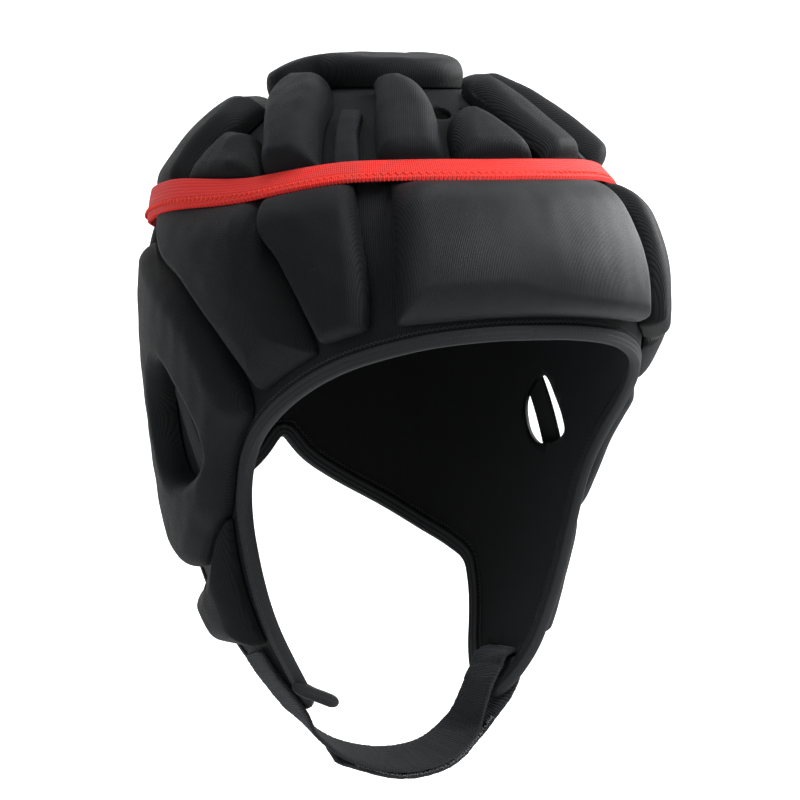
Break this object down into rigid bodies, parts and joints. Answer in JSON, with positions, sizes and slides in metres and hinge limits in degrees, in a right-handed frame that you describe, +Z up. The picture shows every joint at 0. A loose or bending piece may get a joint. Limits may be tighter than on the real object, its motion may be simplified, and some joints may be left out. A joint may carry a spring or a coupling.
{
  "type": "padded scrum cap",
  "caption": "Padded rugby scrum cap in charcoal knit with separate foam pads, a red elastic band, ear holes and a fastened chin strap.",
  "frame": {"origin": "inside of the crown, the point that sits on top of the wearer's head", "axes": "+Z up out of the head, -Y towards the face, +X towards the wearer's left ear"},
  "size_m": [0.1744, 0.2193, 0.2592],
  "materials": {
    "rib_knit": "matte fine rib knit over foam",
    "satin_knit": "smooth knit with a soft sheen over foam",
    "lining": "matte smooth knit",
    "elastic": "ribbed woven elastic",
    "rib_tape": "ribbed woven tape",
    "loop_tape": "brushed loop tape"
  },
  "bodies": {
    "root": {"liner": "lining", "edge_binding": "rib_tape", "crown_band": "elastic", "chin_strap": "loop_tape", "ear_bar_left": "rib_tape", "ear_bar_right": "rib_tape", "forehead_pad": "satin_knit", "crown_pad_top": "rib_knit", "crown_pad_front": "rib_knit", "crown_pad_rear_middle": "rib_knit", "nape_pad_middle": "rib_knit", "crown_pad_brow_left": "rib_knit", "crown_pad_brow_right": "rib_knit", "crown_strip_left": "rib_knit", "crown_strip_right": "rib_knit", "crown_pad_temple_left": "rib_knit", "crown_pad_temple_right": "rib_knit", "crown_pad_side_left": "rib_knit", "crown_pad_side_right": "rib_knit", "crown_pad_back_left": "rib_knit", "crown_pad_back_right": "rib_knit", "crown_pad_rear_left": "rib_knit", "crown_pad_rear_right": "rib_knit", "side_pad_front_left": "rib_knit", "side_pad_front_right": "rib_knit", "side_pad_rear_left": "rib_knit", "side_pad_rear_right": "rib_knit", "cheek_pad_left": "rib_knit", "cheek_pad_right": "rib_knit", "nape_pad_left": "rib_knit", "nape_pad_right": "rib_knit", "ear_pad_left": "rib_knit", "ear_pad_right": "rib_knit"}
  },
  "joints": []
}
